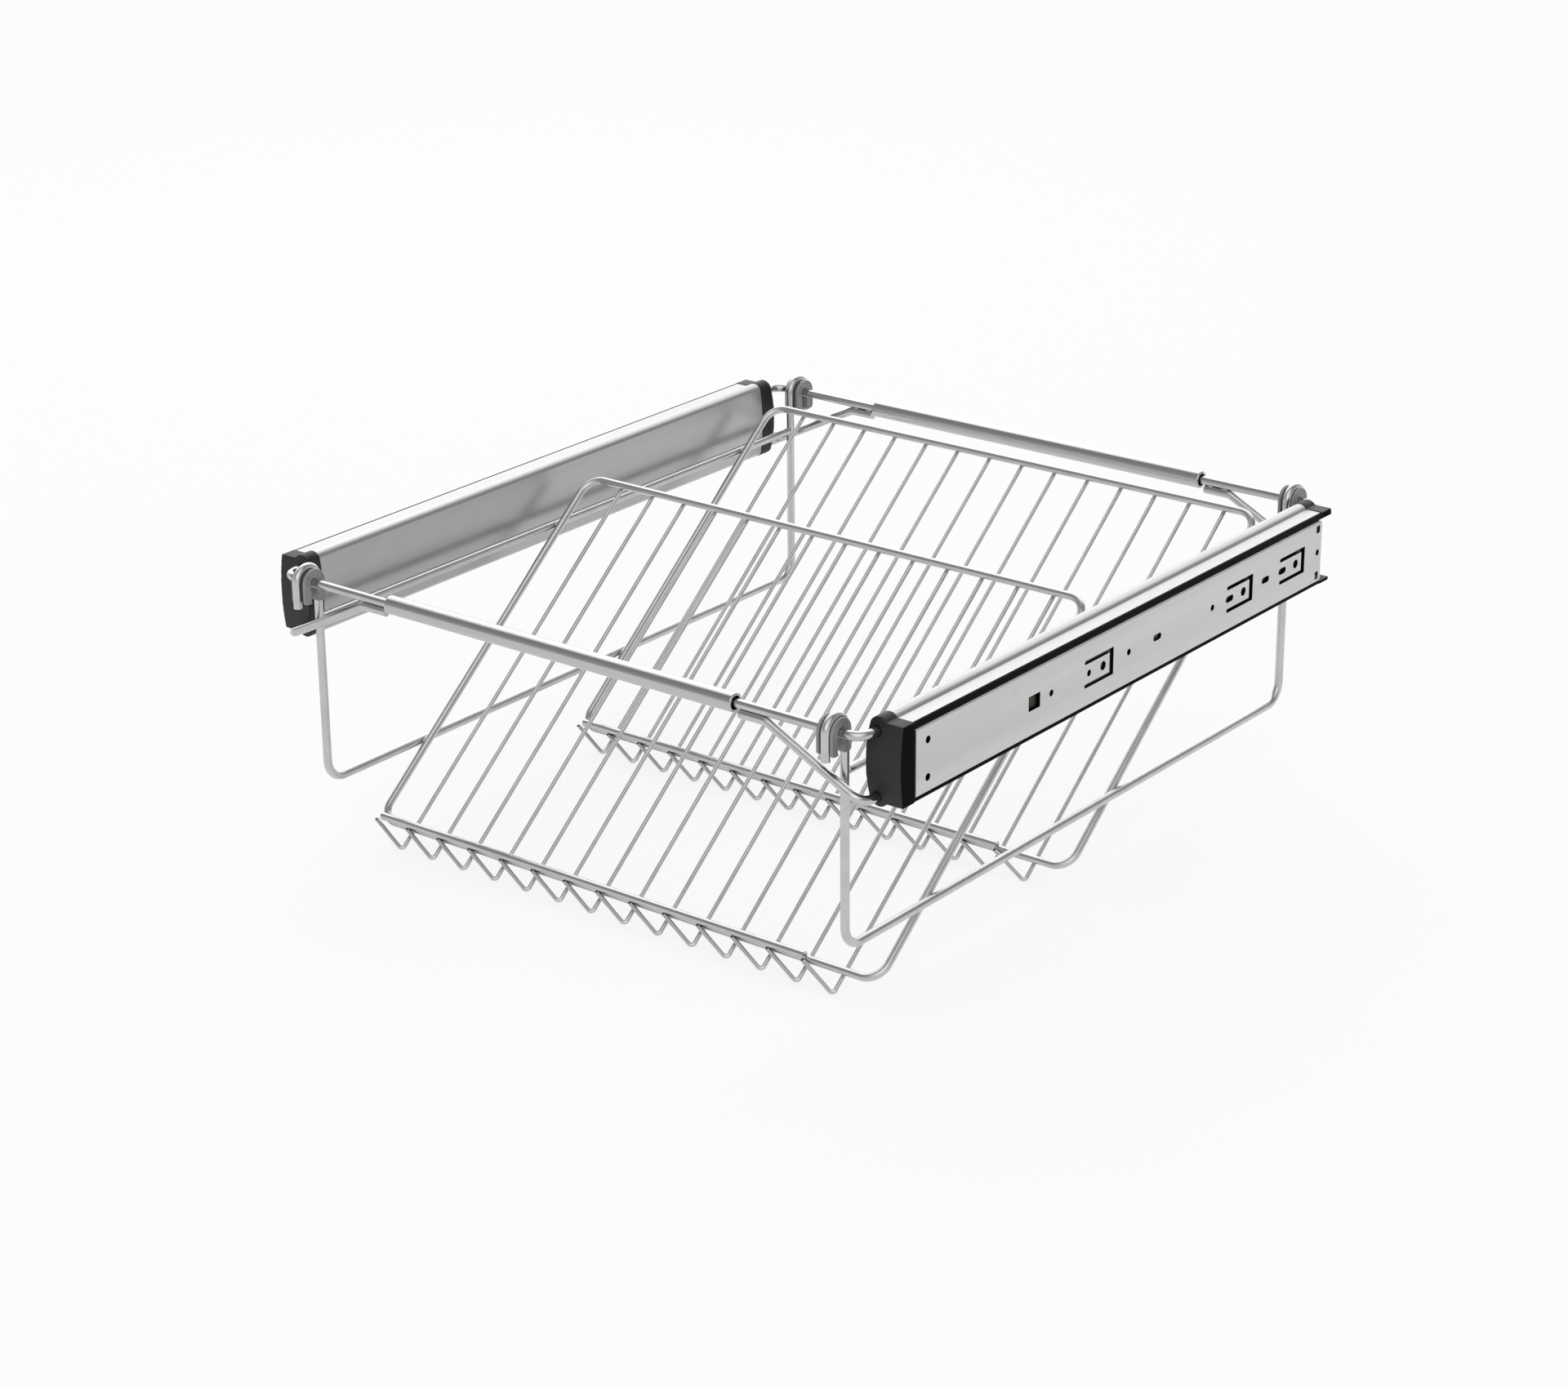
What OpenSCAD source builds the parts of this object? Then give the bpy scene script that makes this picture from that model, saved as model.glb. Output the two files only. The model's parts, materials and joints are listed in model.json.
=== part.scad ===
// Pull-out wire basket for a cabinet: two sloping wire shelves hang from telescopic
// cross tubes between two ball-bearing slides.
// x = 0 is the left cabinet wall, y = 0 the middle of the slides and z = 0 their centre line.
// The front is at -y. Everything on the left is drawn once and mirrored to the right.

/* [Cabinet and slides] */
// Clear width between the cabinet walls at this setting of the cross tubes
cabinet_w = 488; // [470:1:568]
// Length of the slides
rail_len = 450; // [400:1:500]
// Height of the cabinet member
rail_h = 42; // [40:0.5:45]
// Side space that one slide takes up
slide_w = 12.7; // [12.2:0.1:13.2]
// Sheet thickness of the three slide members
sheet_t = 1; // [0.9:0.05:1.1]
// Diameter of the bearing balls
ball_d = 3.2; // [3:0.1:3.4]
// Space between a ball and its race
race_gap = 0.1; // [0.05:0.01:0.15]
// Balls in each row
balls_per_row = 8; // [6:1:10]
// Length of a ball cage
cage_len = 200; // [180:5:220]
// Sheet thickness of a ball cage
cage_t = 0.4; // [0.3:0.05:0.4]
// Diameter of the two screw holes near the cabinet member's front end
screw_hole_d = 4.6; // [4.2:0.1:5]
// Diameter of its other holes and width of its slots
wall_hole_d = 4.2; // [3.8:0.1:4.6]
// Length of the rubber stop at the rear of each slide
bumper_len = 9; // [6:1:12]

/* [Side profiles] */
// Depth of the side profile from the wall to its inner skin
profile_w = 24.8; // [24:0.1:27]
// Height of the flat top above the slide's centre line
profile_top = 25.5; // [24.5:0.1:27]
// Depth of the flat bottom below the slide's centre line
profile_bottom = 23.3; // [23:0.1:25]
// Wall thickness of the extrusion
profile_wall = 1.5; // [1.2:0.1:1.8]
// Radius of the rounded beads along the inner edges
bead_r = 6; // [5.5:0.1:6.5]
// How far the beads stand over the flats
bead_rise = 2.8; // [2:0.1:3.5]
// Bulge of the inner skin over its height
skin_bulge = 2; // [1.5:0.1:2.5]
// Space between the edge strips and the wall
wall_gap = 0.8; // [0.6:0.1:1.4]
// Thickness of the black strips on the profile's wall edges
strip_t = 1.3; // [1:0.1:1.6]
// Length of the upper strip's tongue under the profile's top wall
strip_tongue = 4; // [3:0.5:6]
// Diameter of the rivets that hold the slide to the profile
rivet_d = 4; // [3:0.1:5]

/* [End caps] */
// Length of a cap at its top and bottom edges
cap_len = 11; // [9:0.5:14]
// How far the face bulges at mid height
cap_bulge = 2.6; // [1.5:0.1:4]
// How far the cap stands proud of the profile
cap_rim = 0.4; // [0.2:0.1:0.6]
// Depth of the plug inside the profile
plug_len = 22; // [15:1:35]

/* [Arms and cross tubes] */
// Wire diameter of the corner arms
arm_d = 5.8; // [5.4:0.1:6]
// Distance of the arms from the end of the slides
arm_out = 26.5; // [25.5:0.5:32]
// Height of the arms above and below the slide's centre line
arm_z = 20; // [19.5:0.1:20.5]
// Distance of the arm's ends from the wall
arm_u = 18.2; // [18.1:0.1:18.4]
// Bend radius of the arms
arm_bend_r = 9; // [8:0.5:12]
// Length of the brace that lies along the arm before it turns down
brace_flat = 19; // [16:1:26]
// Outer diameter of the cross tubes
tube_d = 11.8; // [11.4:0.1:12.4]
// Wall of the cross tubes
tube_wall = 1.8; // [1.4:0.1:2.2]
// Distance from the wall to the end of a cross tube
tube_inset = 108; // [100:1:120]
// Gap between a tube's end and the brace that stops it
stop_gap = 3; // [2:0.5:6]
// Length of arm inside the tube
arm_in_tube = 100; // [80:1:110]

/* [Side frames] */
// Wire diameter of the side frames
side_d = 5.5; // [5:0.1:6]
// Distance from the cabinet wall to the middle of a side frame
side_inset = 37; // [36.5:0.1:38]
// Radius of the hooks over the arms, to the middle of the wire
hook_r = 9; // [8.8:0.1:9.6]
// Length of a hook's free leg below the arm
hook_leg = 15.7; // [14.5:0.1:20]
// Depth of the bottom rail below the slide's centre line
frame_drop = 119.1; // [110:0.1:130]
// Height of the upper rail against the slide's centre line
upper_rail_z = -7.4; // [-12:0.1:-6]
// Bend radius of the lower corners
corner_r = 14; // [10:1:20]

/* [Saddles] */
// Radius of a saddle's flanges
flange_r = 9; // [8.8:0.1:9.8]
// Thickness of a flange
flange_t = 2; // [1.8:0.1:2.4]
// How much wider than the hook's wire the groove is, on the basket's side
groove_play = 2; // [0:0.1:2.4]
// Length of the legs below the arm
saddle_leg = 13; // [12:0.1:14]
// Depth of the recess that leaves a rim round each flange
rim_depth = 0.6; // [0.2:0.05:0.8]
// Width of that rim
rim_w = 1.2; // [0.8:0.1:1.6]

/* [Shelves] */
// Wire diameter of the shelf frames and heel bars
shelf_d = 5; // [4.5:0.1:5.5]
// Wire diameter of the slats
slat_d = 2.8; // [2.6:0.1:3.2]
// Number of slats in a shelf
slat_count = 14; // [12:1:15]
// Slope of the shelves in degrees
tilt = 39.1; // [37:0.1:41]
// Length of a shelf down its slope
shelf_len = 279; // [265:1:290]
// Bend radius of the shelf frame's corners
shelf_corner_r = 13; // [11:1:20]
// Length of shelf below the bottom rail, down the slope
shelf_below = 61; // [55:0.5:66]
// Distance from the front upright to where the front shelf crosses the bottom rail
front_cross = 87.2; // [80:0.1:100]
// Distance between the shelves
shelf_pitch = 201; // [190:1:205]
// How far the slats' points stand out from the shelf's foot
point_out = 14.9; // [12:0.1:17]
// How far a slat's return arm ends short of the slat beside it
arm_short = 0.9; // [0:0.1:3]
// Bend radius of the slats' points
point_r = 2.2; // [2:0.1:4]

/* [Hidden] */
$fn = 48;
fit_gap = 0.1;      // space between parts that are pushed together
weld_gap = 0.03;    // space left at a weld between two round wires
end_gap = 0.5;      // space between a slide's end and a cap
seat_gap = 0.05;    // space between faces that are pressed together
wire_lap = 0.2;     // length of a straight wire inside the bend beside it
bend_swell = 0.04;  // how much thicker the bends are drawn
eps = 0.01;
far = 60;           // reach of cutting shapes past the solid they cut

half_len = rail_len / 2;
profile_len = rail_len + 2 * end_gap;
member_len = rail_len - bumper_len - 2 * end_gap;
member_y = -half_len;

// Slide section, u = distance from the wall
ball_u = slide_w / 2 + 0.45;
race_r = ball_d / 2 + race_gap;
outer_ball_z = rail_h / 2 - sheet_t - race_r;
inner_ball_z = outer_ball_z - 2 * race_r - sheet_t;
cage_gap = (1 - cage_t) / 2;
middle_u = sheet_t + 2 * cage_gap + cage_t;
race_end = 10;      // angle at which a race's edge stops short of the ball's middle plane
cage_end = 8;       // distance of the last balls from the cage's ends

// Holes in the cabinet member, measured from its front end
front_pair_y = 11.5;
front_pair_z = 11.5;
screw_y = [136, 220, 316];
slot_y = [252, 380];
slot_hole_len = 9;
window_y = 112.3;
window_size = [12, 9.4];
lance_y = [171.5, 333, 397.5];
lance_size = [31.4, 17.7];
lance_side_cut = 2.6;       // width of the cuts along a tongue's sides
lance_end_cut = 4.4;        // width of the cut at its end
lance_hole = [20, 5.8];     // distance from the tongue's root, diameter
first_root_hole_in = 4.8;   // from the first tongue's root to its small hole
root_slot_in = 3.4;         // from the other tongues' roots to the middle of their slots
tail_hole_in = 4.8;
tail_tab_size = [4.2, 5.2];
tail_tab_z = 16;
plate_corner_r = 2.5;

// Side profile section
bay_top = profile_top - profile_wall;
bay_bottom = profile_bottom - profile_wall;
web_u = slide_w + seat_gap;
chamber_u = web_u + profile_wall;
bead_back = 1.3;                // how far a bead stays back from the inner skin
bead_u = profile_w - bead_r - bead_back;
skin_mid_z = (profile_top - profile_bottom) / 2;
skin_half = (profile_top + profile_bottom) / 2;
skin_r = (skin_half * skin_half + skin_bulge * skin_bulge) / (2 * skin_bulge);
lip_u = wall_gap + strip_t + seat_gap;
strip_z = rail_h / 2 + 0.5;     // strips and rear cap clear the cabinet member that passes between them
tongue_t = 1.2;
rivet_y = [-180, -60, 60, 180];
rivet_head_t = 0.9;

// Arms and tubes
arm_y = half_len + arm_out;
brace_z = arm_z - arm_d - weld_gap;
brace_end_u = tube_inset - stop_gap;
brace_turn_u = brace_end_u - brace_flat;
brace_angle = atan2(brace_z + arm_z, brace_turn_u - arm_u);
brace_run = norm([brace_turn_u - arm_u, brace_z + arm_z]);
arm_end_y = half_len + end_gap - plug_len + 2;
tube_len = cabinet_w - 2 * tube_inset;

// Side frames and saddles
upright_y = arm_y - hook_r;
side_x = side_inset;
slot_w = arm_d + 2 * fit_gap;
core_r = hook_r - side_d / 2 - fit_gap;
leg_w = 4.5;        // width of a saddle's leg that its foot rounds
groove_out = side_d / 2 + fit_gap;          // outer face of the groove, from the middle of the wire
groove_in = groove_out + groove_play;

// Shelves: local x across, y up the slope, z square to it
shelf_half_w = cabinet_w / 2 - side_inset - side_d / 2 - shelf_d / 2 - weld_gap;
slat_pitch = 2 * shelf_half_w / (slat_count + 1);
slat_off = (shelf_d + slat_d) / 2 + weld_gap;
heel_off = shelf_d + weld_gap;
arm_tip = [slat_pitch - arm_short, heel_off / 2 + slat_off];
arm_front = sqrt(slat_off * slat_off - heel_off * heel_off / 4);    // in the notch between the foot and its bar
point_turn = atan2(arm_tip[1], arm_tip[0]);
arm_side = norm(arm_tip);
shelf_cross_y = [-upright_y + front_cross, -upright_y + front_cross + shelf_pitch];

chrome = [0.80, 0.80, 0.81];
bright_wire = [0.72, 0.72, 0.72];
zinc = [0.78, 0.78, 0.78];
anodised = [0.88, 0.88, 0.88];
black_plastic = [0.12, 0.12, 0.12];
grey_plastic = [0.56, 0.56, 0.56];

// Helpers

// Mirrors a left-hand part to the right-hand side
module right_side() {
    translate([cabinet_w, 0, 0]) mirror([1, 0, 0]) children();
}

// Mirrors a front part to the rear
module at_rear() {
    mirror([0, 1, 0]) children();
}

// Extrudes a section drawn in (u, z) along y
module along_y(from, length) {
    translate([0, from + length, 0]) rotate([90, 0, 0]) linear_extrude(length) children();
}

// Extrudes a plate outline drawn in (y, z) through the sheet, from x = from
module through_x(from, length) {
    translate([from, 0, 0]) rotate([90, 0, 90]) linear_extrude(length) children();
}

// Repeats a section drawn above the centre line below it too
module both_rows() {
    children();
    mirror([0, 1]) children();
}

// Length of straight wire that a bend of radius r takes from each of its sides
function cut_of(turn, r) = r * tan(abs(turn) / 2);

// Bent wire from the origin along x. Each step is [straight length, turn, bend radius, roll]:
// a straight, a roll about it, and a bend that turns left in the rolled xy plane.
// Bends are drawn a hair thicker, and the straights end inside them
module wire(steps, d, closed = false, i = 0) {
    length = steps[i][0];
    turn = steps[i][1];
    r = steps[i][2];
    way = turn > 0 ? 1 : -1;
    lap_in = closed || i > 0 ? wire_lap : 0;
    lap_out = turn != 0 ? wire_lap : 0;
    translate([-lap_in, 0, 0]) rotate([0, 90, 0]) cylinder(d = d, h = length + lap_in + lap_out);
    if (turn != 0) translate([length, 0, 0]) rotate([steps[i][3], 0, 0]) {
        translate([0, way * r, 0]) rotate([0, 0, way > 0 ? -90 : 90 + turn])
            rotate_extrude(angle = abs(turn)) translate([r, 0]) circle(d = d + bend_swell);
        if (i < len(steps) - 1)
            translate([r * sin(abs(turn)), way * r * (1 - cos(turn)), 0])
                rotate([0, 0, turn]) wire(steps, d, closed, i + 1);
    }
}

// Slides

// Ring sector round a ball, the formed race of a member
module race(z, a0, a1) {
    reach = 2 * (race_r + sheet_t);
    translate([ball_u, z]) intersection() {
        difference() {
            circle(r = race_r + sheet_t);
            circle(r = race_r);
        }
        polygon([
            [0, 0],
            for (k = [0 : 4]) reach * [cos(a0 + (a1 - a0) * k / 4), sin(a0 + (a1 - a0) * k / 4)]
        ]);
    }
}

// Cabinet member: plate on the wall, flanges with the outer races
module cabinet_section() {
    edge_r = 1.5;
    translate([0, -rail_h / 2 + edge_r]) square([sheet_t, rail_h - 2 * edge_r]);
    both_rows() {
        translate([edge_r, rail_h / 2 - sheet_t]) square([ball_u - edge_r, sheet_t]);
        translate([edge_r, rail_h / 2 - edge_r]) intersection() {
            difference() {
                circle(r = edge_r);
                circle(r = edge_r - sheet_t);
            }
            translate([-edge_r, 0]) square(edge_r);
        }
        race(outer_ball_z, race_end, 180 - race_end);
    }
}

// Middle member: web beside the plate, races on both sides
module middle_section() {
    joint_z = (outer_ball_z + inner_ball_z) / 2;
    translate([middle_u, -joint_z]) square([sheet_t, 2 * joint_z]);
    both_rows() {
        translate([middle_u, joint_z - sheet_t / 2]) square([ball_u - middle_u, sheet_t]);
        race(outer_ball_z, 180 + race_end, 360 - race_end);
        race(inner_ball_z, race_end, 180 - race_end);
    }
}

// Inner member: plate on the profile's web, flanges with the inner races
module inner_section() {
    flange_z = inner_ball_z - race_r - sheet_t;
    translate([slide_w - sheet_t, -flange_z - sheet_t])
        square([sheet_t, 2 * (flange_z + sheet_t)]);
    both_rows() {
        translate([ball_u, flange_z]) square([slide_w - ball_u, sheet_t]);
        race(inner_ball_z, 180 + race_end, 360 - race_end);
    }
}

// Slot with round ends, along y
module long_hole(length, d) {
    square([length - d, d], center = true);
    for (s = [-1, 1]) translate([s * (length - d) / 2, 0]) circle(d = d);
}

// Cut round a lanced tongue whose root is towards the front, and the tongue's hole
module lance() {
    side_z = (lance_size[1] - lance_side_cut) / 2;
    for (s = [-1, 1]) translate([lance_size[0] / 2, s * side_z]) long_hole(lance_size[0], lance_side_cut);
    translate([lance_size[0] - lance_end_cut, -lance_size[1] / 2]) square([lance_end_cut, lance_size[1]]);
    translate([lance_hole[0], 0]) circle(d = lance_hole[1]);
}

// All the cut-outs of the cabinet member's plate
module cabinet_holes() {
    for (s = [-1, 1]) translate([front_pair_y, s * front_pair_z]) circle(d = screw_hole_d);
    for (y = concat(screw_y, [lance_y[0] + first_root_hole_in, rail_len - tail_hole_in]))
        translate([y, 0]) circle(d = wall_hole_d);
    for (y = concat(slot_y, [for (i = [1, 2]) lance_y[i] + root_slot_in]))
        translate([y, 0]) long_hole(slot_hole_len, wall_hole_d);
    translate([window_y, -window_size[1] / 2]) square(window_size);
    for (y = lance_y) translate([y, 0]) lance();
    for (s = [-1, 1])
        translate([rail_len - tail_hole_in, s * tail_tab_z]) square(tail_tab_size, center = true);
}

// Side view of the member with its rear corners rounded
module rounded_plate() {
    square([rail_len - plate_corner_r, rail_h]);
    translate([0, plate_corner_r]) square([rail_len, rail_h - 2 * plate_corner_r]);
    for (z = [plate_corner_r, rail_h - plate_corner_r])
        translate([rail_len - plate_corner_r, z]) circle(r = plate_corner_r);
}

module cabinet_rail() {
    color(zinc) intersection() {
        difference() {
            along_y(-half_len, rail_len) cabinet_section();
            translate([0, -half_len, 0]) through_x(-1, sheet_t + 1.4) cabinet_holes();
        }
        translate([0, -half_len, -rail_h / 2]) through_x(-1, slide_w + 2) rounded_plate();
    }
}

module middle_rail() {
    color(zinc) along_y(member_y, member_len) middle_section();
}

module inner_rail() {
    color(zinc) difference() {
        along_y(member_y, member_len) inner_section();
        rivet_holes(rivet_d + 2 * fit_gap);
    }
}

// Places one ball, or one ball hole, at each ball of a row pair
module at_balls(z) {
    pitch = (cage_len - 2 * cage_end) / (balls_per_row - 1);
    for (s = [-1, 1]) for (i = [0 : balls_per_row - 1])
        translate([ball_u, -cage_len / 2 + cage_end + i * pitch, s * z]) children();
}

module ball_cage(z, plate_u) {
    reach = ball_u + ball_d / 2 + 0.3 - plate_u;
    color(zinc) difference() {
        along_y(-cage_len / 2, cage_len) {
            translate([plate_u, -z - cage_t / 2]) square([cage_t, 2 * z + cage_t]);
            for (s = [-1, 1]) translate([plate_u, s * z - cage_t / 2]) square([reach, cage_t]);
        }
        at_balls(z) cylinder(d = ball_d + race_gap, h = 2, center = true);
    }
}

module outer_cage() { ball_cage(outer_ball_z, sheet_t + cage_gap); }
module inner_cage() { ball_cage(inner_ball_z, middle_u + sheet_t + cage_gap); }
module outer_balls() { color(chrome) at_balls(outer_ball_z) sphere(d = ball_d); }
module inner_balls() { color(chrome) at_balls(inner_ball_z) sphere(d = ball_d); }

// Rubber block at the rear of the cabinet member that the moving members close on
module slide_bumper() {
    lip = 2;
    size = [ball_u + race_r - sheet_t - fit_gap, bumper_len, 2 * (inner_ball_z - race_r)];
    color(black_plastic) {
        translate([sheet_t + fit_gap, half_len - bumper_len, -size[2] / 2]) cube(size);
        translate([sheet_t + fit_gap, half_len - bumper_len, -outer_ball_z + lip])
            cube([lip, bumper_len, 2 * (outer_ball_z - lip)]);
    }
}

// Side profiles

// Outer outline of the extrusion, grown by g
module profile_outline(g = 0) {
    intersection() {
        union() {
            translate([wall_gap - g, -profile_bottom - g])
                square([profile_w - bead_r - wall_gap + 2 * g, profile_top + profile_bottom + 2 * g]);
            translate([bead_u, -profile_bottom - bead_rise + bead_r])
                square([profile_w - bead_u + g, profile_top + profile_bottom + 2 * (bead_rise - bead_r)]);
            for (z = [profile_top + bead_rise - bead_r, -profile_bottom - bead_rise + bead_r])
                translate([bead_u, z]) circle(r = bead_r + g);
        }
        translate([profile_w - skin_r, skin_mid_z]) circle(r = skin_r + g, $fn = 180);
    }
}

// Hollow between web and skin, shrunk by g
module profile_chamber(g = 0) {
    chamber_r = bead_r - profile_wall - g;
    intersection() {
        union() {
            translate([chamber_u + g, -profile_bottom - bead_rise + bead_r])
                square([profile_w - chamber_u - g, profile_top + profile_bottom + 2 * (bead_rise - bead_r)]);
            for (z = [profile_top + bead_rise - bead_r, -profile_bottom - bead_rise + bead_r])
                translate([bead_u, z]) circle(r = chamber_r);
        }
        translate([profile_w - skin_r, skin_mid_z]) circle(r = skin_r - profile_wall - g, $fn = 180);
        translate([chamber_u + g, -far]) square([far, 2 * far]);
    }
}

// Open bay that takes the slide
module slide_bay() {
    translate([-1, -bay_bottom]) square([web_u + 1, bay_top + bay_bottom]);
}

// Holes through inner member and web
module rivet_holes(d) {
    for (y = rivet_y) translate([slide_w - sheet_t - 1, y, 0])
        rotate([0, 90, 0]) cylinder(d = d, h = sheet_t + profile_wall + 2);
}

module profile() {
    color(anodised) difference() {
        along_y(-profile_len / 2, profile_len) difference() {
            profile_outline();
            slide_bay();
            profile_chamber();
            translate([-1, -far]) square([lip_u + 1, 2 * far]);
        }
        rivet_holes(rivet_d + 2 * fit_gap);
    }
}

// Strip over the edge of the top wall, with a tongue that clips under the wall
module top_strip() {
    color(black_plastic) along_y(-profile_len / 2, profile_len) {
        translate([wall_gap, strip_z]) square([strip_t, profile_top - strip_z]);
        translate([wall_gap, bay_top - fit_gap - tongue_t]) square([strip_t + strip_tongue, tongue_t]);
    }
}

// Strip on the edge of the bottom wall
module bottom_strip() {
    color(black_plastic) along_y(-profile_len / 2, profile_len)
        translate([wall_gap, -profile_bottom]) square([strip_t, profile_bottom - strip_z]);
}

module rivets() {
    shank = sheet_t + seat_gap + profile_wall;
    color(zinc) for (y = rivet_y) translate([slide_w - sheet_t, y, 0]) rotate([0, 90, 0]) {
        cylinder(d = rivet_d, h = shank);
        translate([0, 0, -rivet_head_t]) cylinder(d = 2 * rivet_d, h = rivet_head_t);
        translate([0, 0, shank]) cylinder(d = 1.5 * rivet_d, h = rivet_head_t);
    }
}

// End caps

// Sockets for the ends of an arm and its brace
module arm_sockets() {
    for (s = [-1, 1]) translate([arm_u, -half_len + far, s * arm_z])
        rotate([90, 0, 0]) cylinder(d = arm_d + 2 * fit_gap, h = 2 * far);
}

// Front cap with its face bulged about a line along x
module cap_body() {
    half_h = (profile_top + profile_bottom) / 2 + bead_rise;
    face_r = (half_h * half_h + cap_bulge * cap_bulge) / (2 * cap_bulge);
    back_y = -half_len - end_gap;
    intersection() {
        along_y(back_y - cap_len - cap_bulge, cap_len + cap_bulge) profile_outline(cap_rim);
        translate([-far, back_y - cap_len - cap_bulge + face_r, skin_mid_z])
            rotate([0, 90, 0]) cylinder(r = face_r, h = 3 * far, $fn = 180);
    }
    along_y(back_y - eps, plug_len) profile_chamber(0.15);
}

module front_cap() {
    color(black_plastic) difference() {
        cap_body();
        arm_sockets();
    }
}

// The rear cap is open like the profile, so that the cabinet member passes through it
module rear_cap() {
    color(black_plastic) difference() {
        cap_body();
        arm_sockets();
        along_y(-half_len - far, 2 * far)
            translate([-1, -strip_z]) square([web_u + 1, 2 * strip_z]);
    }
}

// Arms and tubes

// Upper wire of a corner arm: from inside the tube, round the corner, into the cap
module arm() {
    color(chrome) translate([tube_inset + arm_in_tube, -arm_y, arm_z]) rotate([0, 0, 180]) wire(
        [[tube_inset + arm_in_tube - arm_u - arm_bend_r, -90, arm_bend_r, 0],
         [arm_y - arm_end_y - arm_bend_r, 0, 0, 0]], arm_d);
}

// Brace welded under it: along the arm, down and outwards, into the cap
module brace() {
    turn_cut = cut_of(brace_angle, arm_bend_r);
    color(chrome) translate([brace_end_u, -arm_y, brace_z]) rotate([90, 0, 180]) wire(
        [[brace_flat - turn_cut, -brace_angle, arm_bend_r, 0],
         [brace_run - turn_cut - arm_bend_r, 90, arm_bend_r, 90],
         [arm_y - arm_end_y - arm_bend_r, 0, 0, 0]], arm_d);
}

// Cross tube with rounded lips at its mouths
module tube() {
    lip_r = tube_wall / 2;
    color(chrome) translate([tube_inset, -arm_y, arm_z]) rotate([0, 90, 0]) rotate_extrude() {
        translate([tube_d / 2 - tube_wall, lip_r]) square([tube_wall, tube_len - 2 * lip_r]);
        for (z = [lip_r, tube_len - lip_r]) translate([tube_d / 2 - lip_r, z]) circle(r = lip_r);
    }
}

// Side frames and saddles

// Bent wire frame: hook, upright, bottom rail, upright, hook
module side_frame() {
    upright = arm_z + frame_drop - corner_r;
    color(bright_wire) translate([side_x, -arm_y - hook_r, arm_z - hook_leg]) rotate([90, -90, 90]) wire(
        [[hook_leg, -180, hook_r, 0],
         [upright, 90, corner_r, 0],
         [2 * (upright_y - corner_r), 90, corner_r, 0],
         [upright, -180, hook_r, 0],
         [hook_leg, 0, 0, 0]], side_d);
}

// Straight rail welded between the uprights
module upper_rail() {
    length = 2 * upright_y - side_d - 2 * weld_gap;
    color(bright_wire) translate([side_x, -length / 2, upper_rail_z])
        rotate([-90, 0, 0]) cylinder(d = side_d, h = length);
}

// Horseshoe outline of radius r, drawn about the arm, without its slot
module horseshoe(r, leg) {
    foot_r = min(r - slot_w / 2, leg_w) / 2;
    circle(r = r);
    translate([-r, -leg + foot_r]) square([2 * r, leg - foot_r]);
    for (s = [-1, 1]) translate([s * (r - foot_r), -leg + foot_r]) circle(r = foot_r);
    translate([-r + foot_r, -leg]) square([2 * (r - foot_r), foot_r]);
}

module arm_slot() {
    circle(d = slot_w);
    translate([-slot_w / 2, -far]) square([slot_w, far]);
}

// Flange on z = 0 with a rim round its far face
module flange() {
    difference() {
        linear_extrude(flange_t) horseshoe(flange_r, saddle_leg);
        translate([0, 0, flange_t - rim_depth])
            linear_extrude(2 * rim_depth) horseshoe(flange_r - rim_w, saddle_leg - rim_w);
    }
}

module saddle() {
    color(grey_plastic) translate([side_x, -arm_y, arm_z]) rotate([90, 0, 90]) difference() {
        union() {
            translate([0, 0, -groove_out]) linear_extrude(groove_out + groove_in) horseshoe(core_r, saddle_leg);
            translate([0, 0, groove_in]) flange();
            translate([0, 0, -groove_out]) mirror([0, 0, 1]) flange();
        }
        linear_extrude(2 * far, center = true) arm_slot();
    }
}

// Shelves

// Moves a shelf drawn flat, foot bar on the x axis, to its place and slope
module on_slope(i) {
    translate([cabinet_w / 2, shelf_cross_y[i], -frame_drop])
        rotate([tilt, 0, 0]) translate([0, -shelf_below, 0]) children();
}

module shelf_frame(i) {
    across = 2 * (shelf_half_w - shelf_corner_r);
    down = shelf_len - 2 * shelf_corner_r;
    color(bright_wire) on_slope(i) translate([-across / 2, 0, 0]) wire(
        [[across, 90, shelf_corner_r, 0], [down, 90, shelf_corner_r, 0],
         [across, 90, shelf_corner_r, 0], [down, 90, shelf_corner_r, 0]], shelf_d, closed = true);
}

// Slat: down the slope under the frame, round its point and back beside the next slat
module slat() {
    back = [arm_side, point_out - arm_front];
    turn = 90 + atan2(back[1], back[0]);
    cut = cut_of(turn, point_r);
    rotate([0, point_turn, 0]) translate([0, shelf_len + slat_d / 2, 0]) rotate([0, 0, -90]) wire(
        [[shelf_len + slat_d / 2 + point_out - cut, -turn, point_r, 0],
         [norm(back) - cut, 0, 0, 0]], slat_d);
}

module shelf_slats(i) {
    color(bright_wire) on_slope(i) for (k = [1 : slat_count])
        translate([-shelf_half_w + k * slat_pitch, 0, -slat_off]) slat();
}

// Bar laid on the foot of the frame, where the slats' return arms end
module heel_bar(i) {
    from = -shelf_half_w + shelf_d;
    to = -shelf_half_w + (slat_count - 1) * slat_pitch + slat_d / 2;
    color(bright_wire) on_slope(i) translate([from, 0, heel_off])
        rotate([0, 90, 0]) cylinder(d = shelf_d, h = to - from);
}

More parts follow.
